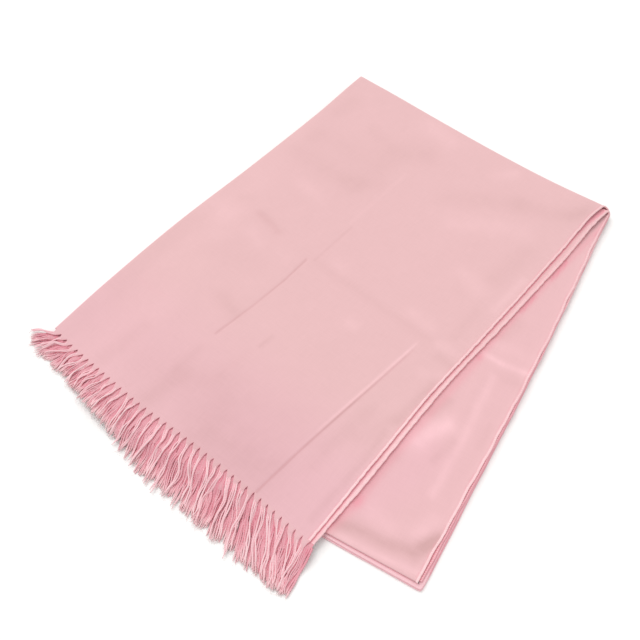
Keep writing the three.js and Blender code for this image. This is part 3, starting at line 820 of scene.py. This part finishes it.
# Nap with painted highlights along folds and painted shade by the bottom fold and the under rim: the line,
# half its width, how much.
lowerNapAndShade = [
    ([(361, 148), (372, 178)], 10, 1.9), ([(375, 250), (383, 215), (392, 180), (405, 112)], 4.5, 1.0),
    ([(418, 75), (422, 92)], 8, 0.9), ([(372, 62), (396, 58)], 10, 0.6),
    ([(352, 267), (375, 270), (399, 277)], 4, 1.4), ([(356, 286), (390, 292)], 8, 0.5),
    ([(366, 25), (400, 33), (440, 45)], 3.6, 1.1),
    ([(352, 30), (372, 40), (400, 47), (425, 57), (435, 80)], 6.5, -2.0),
    ([(429, 56), (436, 86)], 7, -1.3), ([(350, 336), (350, 360)], 2.4, -1.6),
    ([(351, 392), (350, 420)], 2.4, -1.8), ([(352, 180), (356, 200)], 6, -1.2),
    ([(352, 60), (354, 120)], 6, -1.0), ([(352, 296), (356, 320)], 7, -0.7),
    ([(384, 256), (402, 262)], 6, -0.5), ([(384, 140), (387, 168)], 4, -0.7),
    ([(404, 205), (410, 180)], 5, -0.4),
]
secondFoldSteps = range(15, 151, 15)     # degrees round the second fold


def lowerMid():
    v = unevenSteps((shawl["turnTail"] + 0.15) / lowerLength, 1, 128, [0.5, 1.0], 0.018, 2.5)
    width = lowerSections["edgeX"][0] - lowerSections["foldX"][0]
    rolled = 1 - rolledInsets / width
    layers = {}
    for side, count in ((1, 44), (-1, 12)):
        inner = np.linspace(rolled[-1], 0.62, count + 1)[1:]
        s = np.concatenate([rolled, inner, np.linspace(0.62, 0, 14)[1:]])
        points = lowerPoint(s[None, :], v[:, None], side)
        x, y = points[..., 0], points[..., 1]
        free = smooth((x - alongBand("topEdge", y) + 6) / 10) * (1 if side > 0 else 0.5)
        relief = 0.6 * slowWaves(x + 9, y * 1.2) + strokes(x, y, lowerFolds)
        points[..., 2] += relief * free * smooth((1 - v[:, None]) / 0.03)
        wander = 0.3 * np.sin(v * 37 + side) + 0.28 * np.sin(v * 83 + 2 * side)
        wander = (wander + rng.normal(0, 0.13, len(v))) * smooth(v / 0.12) * smooth((1 - v) / 0.05)
        points[..., 0] += wander[:, None] * smooth((s - 0.9) / 0.08)
        layers[side] = points
    top, under = layers[1], layers[-1][:, ::-1]
    turns = np.radians(np.arange(30, 180, 30))
    mid = np.concatenate([top, foldBend(top[:, -1], under[:, 0], turns), under], axis=1)
    # The top layer rolls down over the second fold, in front of the under layer's end.
    topShare = np.concatenate([
        np.ones(top.shape[1]),
        np.linspace(1, 0, len(turns) + 2)[1:-1],
        np.zeros(under.shape[1]),
    ])
    rows = []
    for degrees in secondFoldSteps:
        turn = math.radians(degrees)
        rolledOut = 1.25 * smooth(degrees / 45) + 1.0 * math.sin(turn) + 0.05
        forward = mix(0.12 * degrees / 150, rolledOut, topShare)
        down = topShare * 0.95 * (1 - math.cos(turn))
        shift = np.stack([secondFold["x"] * forward, secondFold["y"] * forward, -down], axis=-1)
        rows.append(mid[-1] + shift)
    return np.concatenate([mid, np.stack(rows)], axis=0)


def lowerMarks(x, y):
    crease = strokes(x, y, lowerCreases)
    # Painted shade: the under layer's rolled edge lies in shade, a deeper rose on the long side.
    crease[:, -9:] += 0.6 * smooth((400 - y[:, -9:]) / 60)
    cool = 0.2 + 0.4 * stroke(x, y, [(362, 70), (372, 100), (374, 140)], 26)
    return {"crease": crease, "nap": strokes(x, y, lowerNapAndShade), "cool": cool}


lowerRows = lowerMid()
lowerCloth = shellPiece("lower_cloth", lowerRows, lowerMaterial,
                        lowerMarks(lowerRows[..., 0], lowerRows[..., 1]), (0.9, 0.7))
print("lower stretch", len(lowerCloth.data.polygons))

# Hidden layers: two folded lips, layered at the free edges
lips = {
    "count": 2,
    "wander": 0.5,
    "inside": 0.03,        # how far their faces stay inside their height
    "points": 840,
}


def eased(ring):
    return (np.roll(ring, 1, axis=0) + 2 * ring + np.roll(ring, -1, axis=0)) / 4


def hiddenFolds():
    closed = hiddenOutline()
    closed = np.concatenate([closed, closed[:1]])
    run = runAlong(closed)
    at = np.linspace(0, run[-1], lips["points"], endpoint=False)
    outline = np.stack([np.interp(at, run, closed[:, 0]), np.interp(at, run, closed[:, 1])], axis=1)
    outline = eased(eased(outline))
    bottom = smooth((pastSecondFold(outline[:, 0], outline[:, 1]) + 1) / 3)
    right = smooth((outline[:, 0] - 340) / 8) * (1 - bottom)
    flare = bottom * smooth((outline[:, 0] - 395) / 35)
    height = shawl["hiddenHeight"] / lips["count"]
    top = shawl["hiddenHeight"] - lips["inside"]
    rings = []
    for lip in range(lips["count"]):
        back = 0.8 + 0.5 * np.sin(at / (31 + 9 * lip) + 2.2 * lip) + 0.3 * np.sin(at / 11.3 + lip)
        back = lips["wander"] * back + (lip > 0) * (1.3 * bottom * (1 - 0.5 * flare) + 1.0 * right)
        for degrees in range(-90, 91, 18):
            turn = math.radians(degrees)
            inset = 0.35 + back + height / 2 * (1 - math.cos(turn)) + (0.5 if abs(degrees) == 90 else 0)
            z = height * (lip + 0.5) + (height / 2 - lips["inside"]) * math.sin(turn)
            rings.append(np.insert(insetOutline(outline, inset), 2, max(z, 0.0), axis=1))
    for inset in (5, 9, 14, 22):
        ring = insetOutline(outline, inset)
        for _ in range(6):
            ring = eased(ring)
        rings.append(np.insert(ring, 2, top, axis=1))
    points = np.concatenate(rings)
    x, y, _ = points.mean(axis=0)
    grid = np.arange(len(points)).reshape(len(rings), -1)
    faces = roundQuads(grid).tolist()
    # Fans close the underside and the top.
    for centre, ring in ((len(points), grid[0]), (len(points) + 1, grid[-1, ::-1])):
        faces += [[centre, a, b] for a, b in zip(ring.tolist(), np.roll(ring, -1).tolist())]
    return np.concatenate([points, [[x, y, 0.0], [x, y, top]]]), faces


foldPoints, foldFaces = hiddenFolds()
foldUv = foldPoints[:, :2] + foldPoints[:, 2:]
longSide = [(alongLower("edgeX", v) + alongLower("hidden", v), alongLower("edgeY", v))
            for v in (0.15, 0.4, 0.6, 0.8, 0.97)]
# Painted shade: a deeper rose along the hidden layers' long side, under the layered edges.
foldCrease = 0.55 * stroke(foldPoints[:, 0], foldPoints[:, 1], longSide, 3.5)
hiddenCloth = makePiece("hidden_folds", foldPoints, foldFaces, foldUv / 1000,
                        {"crease": foldCrease}, foldMaterial)
print("hidden layers", len(foldFaces))

# Overcast threads round the rolled selvages
overcast = {
    "pitch": 2.3,
    "radius": 0.27,        # of the thread
    "reach": 0.99,         # of its turns, from the middle of the bead
    "around": 9,           # steps in a turn
}


def overcastThread(name, line, inside):
    run = runAlong(line)
    steps = int(run[-1] / overcast["pitch"] * overcast["around"])
    at = np.linspace(0, run[-1], steps)
    centre, side = (np.stack([np.interp(at, run, values[:, i]) for i in range(3)], axis=1)
                    for values in (line, inside - line))
    along = unit(np.gradient(centre, axis=0))
    side = unit(side - along * np.sum(side * along, axis=1)[:, None])
    up = np.cross(along, side)
    turn = 2 * math.pi * at / overcast["pitch"] + 0.5 * np.sin(at / 7.7) + 0.3 * np.sin(at / 3.1 + 1)
    reach = overcast["reach"] + 0.04 * np.sin(at / 5)
    path = centre + (side * np.cos(turn)[:, None] + up * np.sin(turn)[:, None]) * reach[:, None]
    radius = np.full((1, steps), overcast["radius"])
    shade = 0.15 + 0.15 * np.sin(at / 13)[None]
    return makeTubes(name, path[None], radius, 4, edgeMaterial, {"shade": shade})


lowerFlat = lowerRows[:-len(secondFoldSteps)]
threads = [overcastThread(name, rows[:, bead], rows[:, inside]) for name, rows, bead, inside in (
    ("upper_edge_thread", upperRows, 4, 9),
    ("upper_under_edge_thread", upperRows, -5, -10),
    ("lower_edge_thread", lowerFlat, 4, 9),
    ("lower_under_edge_thread", lowerFlat, -5, -10),
)]
print("edge threads", sum(len(piece.data.polygons) for piece in threads))

# Fringe
fringe = {
    "locks": 40,
    "steps": 40,           # along a yarn
    "fibre": 0.08,         # radius of a loose fibre
    "gather": (359, -50),  # where the last locks draw together
}
# Rows of yarn: how many in a lock, their spread from its middle, resting height, radius, painted shade
# (deeper colour for rows lying in shade), length against the lock's, twist and wave.
upperYarns = [
    {"count": (2, 3), "spread": 1.7, "rest": 3.4, "radius": 0.88, "shade": 0.0, "length": 1.0,
     "twist": (0.1, 0.6), "wave": 0.34},
]
underYarns = [
    {"count": (4, 4), "spread": 3.1, "rest": 2.2, "radius": 0.84, "shade": 0.16, "length": 1.0,
     "twist": (0.1, 0.4), "wave": 0.46},
    {"count": (6, 7), "spread": 5.2, "rest": 1.1, "radius": 1.14, "shade": 0.42, "length": 0.97,
     "twist": (0.0, 0.12), "wave": 0.26},
]
lockPitch = upperSections["topEdge"][0] / fringe["locks"]


def fringeFloor(x, y):
    return support(x, y) * smooth(1 - (pastSecondFold(x, y) - 9) / 16)


def hemHeight(x, y, side):
    edge = alongBand("topEdge" if side > 0 else "underEdge", 0)
    return upperSurface(x, y, side, edge - x)


# Middle of a lock, at distances out from the hem.
def lockLine(x, side, distance, way, rest):
    lean = np.radians(through(fringeSections, "lean", x) + way["lean"] * smooth(distance / 16))
    length = through(fringeSections, "length", x) * way["length"]
    hem = acrossBand("hem", x)
    part = distance / length
    sway = way["sway"] * np.sin(part * way["waves"] * math.pi + way["phase"]) * smooth(part * 2.2)
    sway = sway + way["curl"] * part ** 2
    lean = lean * mix(0.55, 1, smooth(distance / 10))
    across = x + np.sin(lean) * distance + np.cos(lean) * sway
    down = hem - np.cos(lean) * distance + np.sin(lean) * sway
    if x > 255:
        pull = smooth((x - 255) / 90) * 0.62 * clamp01(part) ** 1.6
        across, down = mix(across, fringe["gather"][0], pull), mix(down, fringe["gather"][1], pull)
    start = hemHeight(np.full_like(distance, x), np.full_like(distance, hem), side)
    lying = fringeFloor(across, down) + rest + way["arch"] * np.sin(math.pi * clamp01(part)) ** 2
    return np.stack([across, down, mix(start, lying, smooth((part - 0.04) * 2.2))], axis=-1)


def lockWay(loose):
    return {
        "lean": rng.normal(0, 5.5) * loose,
        "length": 1 + rng.normal(0, 0.05),
        "sway": rng.uniform(0.9, 2.4) * rng.choice([-1, 1]) * loose,
        "waves": rng.uniform(1.3, 2.8),
        "phase": rng.uniform(-0.5, 0.5),
        "curl": rng.normal(0, 2.6) * loose,
        "arch": rng.uniform(0.0, 1.5) * loose,
    }


# Level direction across a line, to its left.
def sideways(line):
    along = np.gradient(line, axis=0)
    return unit(np.stack([-along[:, 1], along[:, 0], np.zeros(len(line))], axis=1))


# Cloth tongue at the root of a lock: as wide as the pitch at the hem, gathered to the lock.
def hemPoint(x, side, reach, way, rest, narrow):
    d = np.linspace(0, reach, 12)
    across = np.linspace(-1, 1, 11)
    line = lockLine(x, side, d, way, rest)
    level = mix(np.array([[1.0, 0, 0]]), sideways(line), smooth(d / 6)[:, None])
    gathered = 1 - (1 - clamp01((d - 0.4) / reach)) ** (1.9 if side > 0 else 0.8)
    width = mix(lockPitch / 2 + 0.02, narrow, gathered)
    grid = line[:, None] + level[:, None] * (across * width[:, None])[..., None]
    grid[0, :, 1] = acrossBand("hem", grid[0, :, 0])
    rootZ = hemHeight(grid[0, :, 0], grid[0, :, 1], side)
    free = smooth(d / reach)[:, None]
    ripple = 0.24 * np.cos(across * math.pi * 3) * smooth((d - 2) / 6)[:, None]
    grid[..., 2] += (rootZ - line[0, 2]) * (1 - free) + ripple - 0.4 * across ** 2 * free
    half = mix(halfShell, 0.3, free) * mix(1, 0.5, across ** 4 * smooth(d / 2)[:, None])
    # Painted shade on the tongue's sides, in the gaps between tongues, and at the under row's roots.
    crease = 0.5 * np.abs(across) ** 5 * smooth((d - 0.3) / 1.5)[:, None]
    crease = crease + (0.3 * (1 - free) if side < 0 else 0.0)
    return [values[::-1, ::-1] for values in (grid, half, crease)]


def lockYarns(x, side, reach, way, look):
    length = through(fringeSections, "length", x) * way["length"] * look["length"]
    inside = np.linspace(reach * 0.45, reach, 6)
    d = np.concatenate([inside, np.linspace(reach, length, fringe["steps"] - 5)[1:]])
    line = lockLine(x, side, d, way, look["rest"])
    level = sideways(line)
    part = d / length
    count = int(rng.choice(look["count"]))
    twist = rng.uniform(*look["twist"]) * rng.choice([-1, 1])
    phase = rng.uniform(-0.5, 0.5)
    found = []
    for k in range(count):
        place = (k - (count - 1) / 2) / max((count - 1) / 2, 1)
        frayed = rng.uniform(-0.2, 1.3) * smooth((part - 0.72) / 0.28)
        spread = look["spread"] * mix(0.9, 1.05, part) + frayed
        turn = twist * math.pi * 2 * part + phase * part
        wave = 0.7 * np.sin(d / rng.uniform(2.6, 4.2) + rng.uniform(0, 6))
        wave = look["wave"] * (wave + np.sin(d / rng.uniform(5, 9) + rng.uniform(0, 6)))
        aside = place * spread * np.cos(turn) + wave * smooth((d - reach * 0.5) / 9) * 1.3
        path = line + level * aside[:, None]
        path[:, 2] += np.sin(turn) * min(0.85, look["spread"] * 0.8) * place + 0.15 * rng.uniform(-1, 1)
        path[:, 2] -= 0.5 * (1 - smooth((d - reach * 0.5) / (reach * 0.5)))
        path = path[0] + (path - path[0]) * (1 - rng.uniform(0, 0.08))
        radius = look["radius"] * rng.uniform(0.85, 1.12) * mix(1, 0.42, smooth((part - 0.85) / 0.15))
        lowest = fringeFloor(path[:, 0], path[:, 1]) + radius + 0.05
        path[:, 2] = np.where(d > reach, np.maximum(path[:, 2], lowest), path[:, 2])
        # Painted shade: yarns are deeper near the roots, in shade under the hem.
        rooted = (0.3 if side < 0 else 0.06) * (1 - smooth(part / 0.6))
        shade = look["shade"] + rng.uniform(-0.08, 0.24) + rooted
        pale = (0.75 if side < 0 else 0.3) * smooth((part - 0.7) / 0.3) * rng.uniform(0.3, 1)
        found.append((path, radius, shade, pale))
    return found


# Fine loose fibres round the tips of the yarns.
def looseFibres(yarns, each):
    paths = []
    t = np.linspace(0, 1, 8)[:, None]
    for path, *_ in yarns:
        ahead = unit(path[-1] - path[-5])
        aside = np.array([-ahead[1], ahead[0], 0.0])
        for _ in range(each):
            start = path[-int(rng.integers(1, 12))]
            reach = rng.uniform(2, 5.5)
            bend = rng.normal(0, 0.35) * t + rng.normal(0, 0.45) * t * t
            fibre = start + (ahead * t + aside * bend) * reach
            fibre[:, 2] = mix(start[2], rng.uniform(0.3, 1.4), t[:, 0])
            paths.append(fibre)
    paths = np.array(paths)
    radii = np.full(paths.shape[:2], fringe["fibre"])
    return makeTubes("fringe_loose_fibres", paths, radii, 3, edgeMaterial, {"shade": 0.0, "pale": 0.5})


def makeFringe(side, name, looks, material, clothLook):
    yarns, shells, start = [], [], 0
    for i in range(fringe["locks"]):
        x = lockPitch * (i + (0.5 if side > 0 else 1))
        reach = (12 if side > 0 else 22) * rng.uniform(0.85, 1.15) * (0.75 + 0.25 * smooth(x / 200))
        if side < 0 and x > 340:
            reach *= 0.5
        way = lockWay(1 if side > 0 else 0.7)
        grid, half, crease = hemPoint(x, side, reach, way, looks[0]["rest"], 1.5 if side > 0 else 2.9)
        points, faces = clothShell(grid, half)
        # Nap and painted light and shade carry on over the top hem points.
        brushedAndShaded = strokes(grid[..., 0], np.maximum(grid[..., 1], 0), upperNapAndShade) * (side > 0)
        marks = [bothSides(values) for values in (grid[..., :2] / 1000, crease, brushedAndShaded)]
        shells.append((points, faces + start, *marks))
        start += len(points)
        for row, look in enumerate(looks):
            rowWay = lockWay(0.2) if row else way
            yarns += lockYarns(x, side, reach * (0.7 if row else 1), rowWay, look)
    paths, radii, shades, pales = (np.array(values) for values in zip(*yarns))
    paths[..., 2] = np.maximum(paths[..., 2], radii + 0.02)
    around = 6 if side > 0 else 5
    locks = makeTubes(name, paths, radii, around, material, {"shade": shades, "pale": pales})
    points, faces, uv, crease, nap = (np.concatenate(values) for values in zip(*shells))
    marks = {"crease": crease, "nap": nap, "cool": np.full(start, 0.5)}
    hemName = name.replace("fringe", "hem_points")
    tongues = makePiece(hemName, points, faces.tolist(), uv, marks, clothLook, sharp=55)
    return locks, tongues, yarns


fringeUnder, pointsUnder, yarnsUnder = makeFringe(
    -1, "fringe_under_row", underYarns, shadedUnderYarnMaterial, shadedUnderPointMaterial)
fringeUpper, pointsUpper, yarnsUpper = makeFringe(
    1, "fringe_upper_row", upperYarns, yarnMaterial, pointMaterial)
fibres = looseFibres(yarnsUnder + yarnsUpper, 2)
print("fringe", len(fringeUpper.data.polygons), len(fringeUnder.data.polygons), len(fibres.data.polygons))

# Bodies, and what each piece stands for; the slot names in the table are not used
for piece, slotName, nodes in [
    (upperCloth, "cloth", ["upper_stretch"]),
    (lowerCloth, "cloth", ["lower_stretch"]),
    (hiddenCloth, "cloth", ["hidden_layers"]),
    (fringeUpper, "fringe", ["fringe_upper"]),
    (fringeUnder, "fringe", ["fringe_under"]),
    (fibres, "fringe", ["fringe_under"]),
    (pointsUpper, "cloth", ["fringe_upper"]),
    (pointsUnder, "cloth", ["fringe_under"]),
    *[(piece, "cloth", ["upper_stretch"]) for piece in threads[:2]],
    *[(piece, "cloth", ["lower_stretch"]) for piece in threads[2:]],
]:
    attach(piece, "root")
    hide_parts(*nodes)

# Floor, light and camera
studio = {
    "dome": 0.92,
    "key": 1.32,           # strength of the wide soft sun on the fold's side
    "keyPlace": (-0.52, 0.18, 0.835),
    "keyWidth": 44,        # degrees
    "floor": rgb(0.86, 0.86, 0.85),
}

floorMesh = bpy.data.meshes.new("floor")
floorMesh.from_pydata([(-6, -6, 0), (6, -6, 0), (6, 6, 0), (-6, 6, 0)], [], [(0, 1, 2, 3)])
floorPiece = link("floor", floorMesh)
floorMaker = Maker("floor_paper")
grain = floorMaker.noise(floorMaker.node("ShaderNodeTexCoord", {}, {}, out=3), 40.0)
floorColour = floorMaker.colourMix(studio["floor"], rgb(0.87, 0.865, 0.85), grain)
floorPaper = {"Base Color": floorColour, "Roughness": 0.9, "Specular IOR Level": 0.1}
floorMesh.materials.append(floorMaker.finish(floorPaper))

world = bpy.data.worlds.new("studio")
bpy.context.scene.world = world
world.use_nodes = True
sky = world.node_tree.nodes["Background"]
sky.inputs[0].default_value = rgb(1.0, 1.0, 1.0)
sky.inputs[1].default_value = studio["dome"]


def lookAt(thing, target):
    forward = unit(np.array(target) - np.array(thing.location))
    right = unit(np.cross(forward, [0, 0, 1]))
    matrix = np.eye(4)
    matrix[:3, 0], matrix[:3, 1], matrix[:3, 2] = right, np.cross(right, forward), -forward
    matrix[:3, 3] = thing.location
    thing.matrix_world = matrix.T.tolist()


keyData = bpy.data.lights.new("soft_key", "SUN")
keyData.energy, keyData.angle = studio["key"], math.radians(studio["keyWidth"])
key = link("soft_key", keyData)
key.location = studio["keyPlace"]
lookAt(key, (0, 0, 0))

view = {"lens": 51.75, "place": (0.3210, -0.4274, 0.8148), "target": (-0.0216, -0.0374, 0.0)}
cameraData = bpy.data.cameras.new("camera")
cameraData.lens, cameraData.sensor_width = view["lens"], 36
camera = link("camera", cameraData)
camera.location = view["place"]
lookAt(camera, view["target"])
bpy.context.scene.camera = camera
bpy.context.scene.view_settings.view_transform = "Standard"
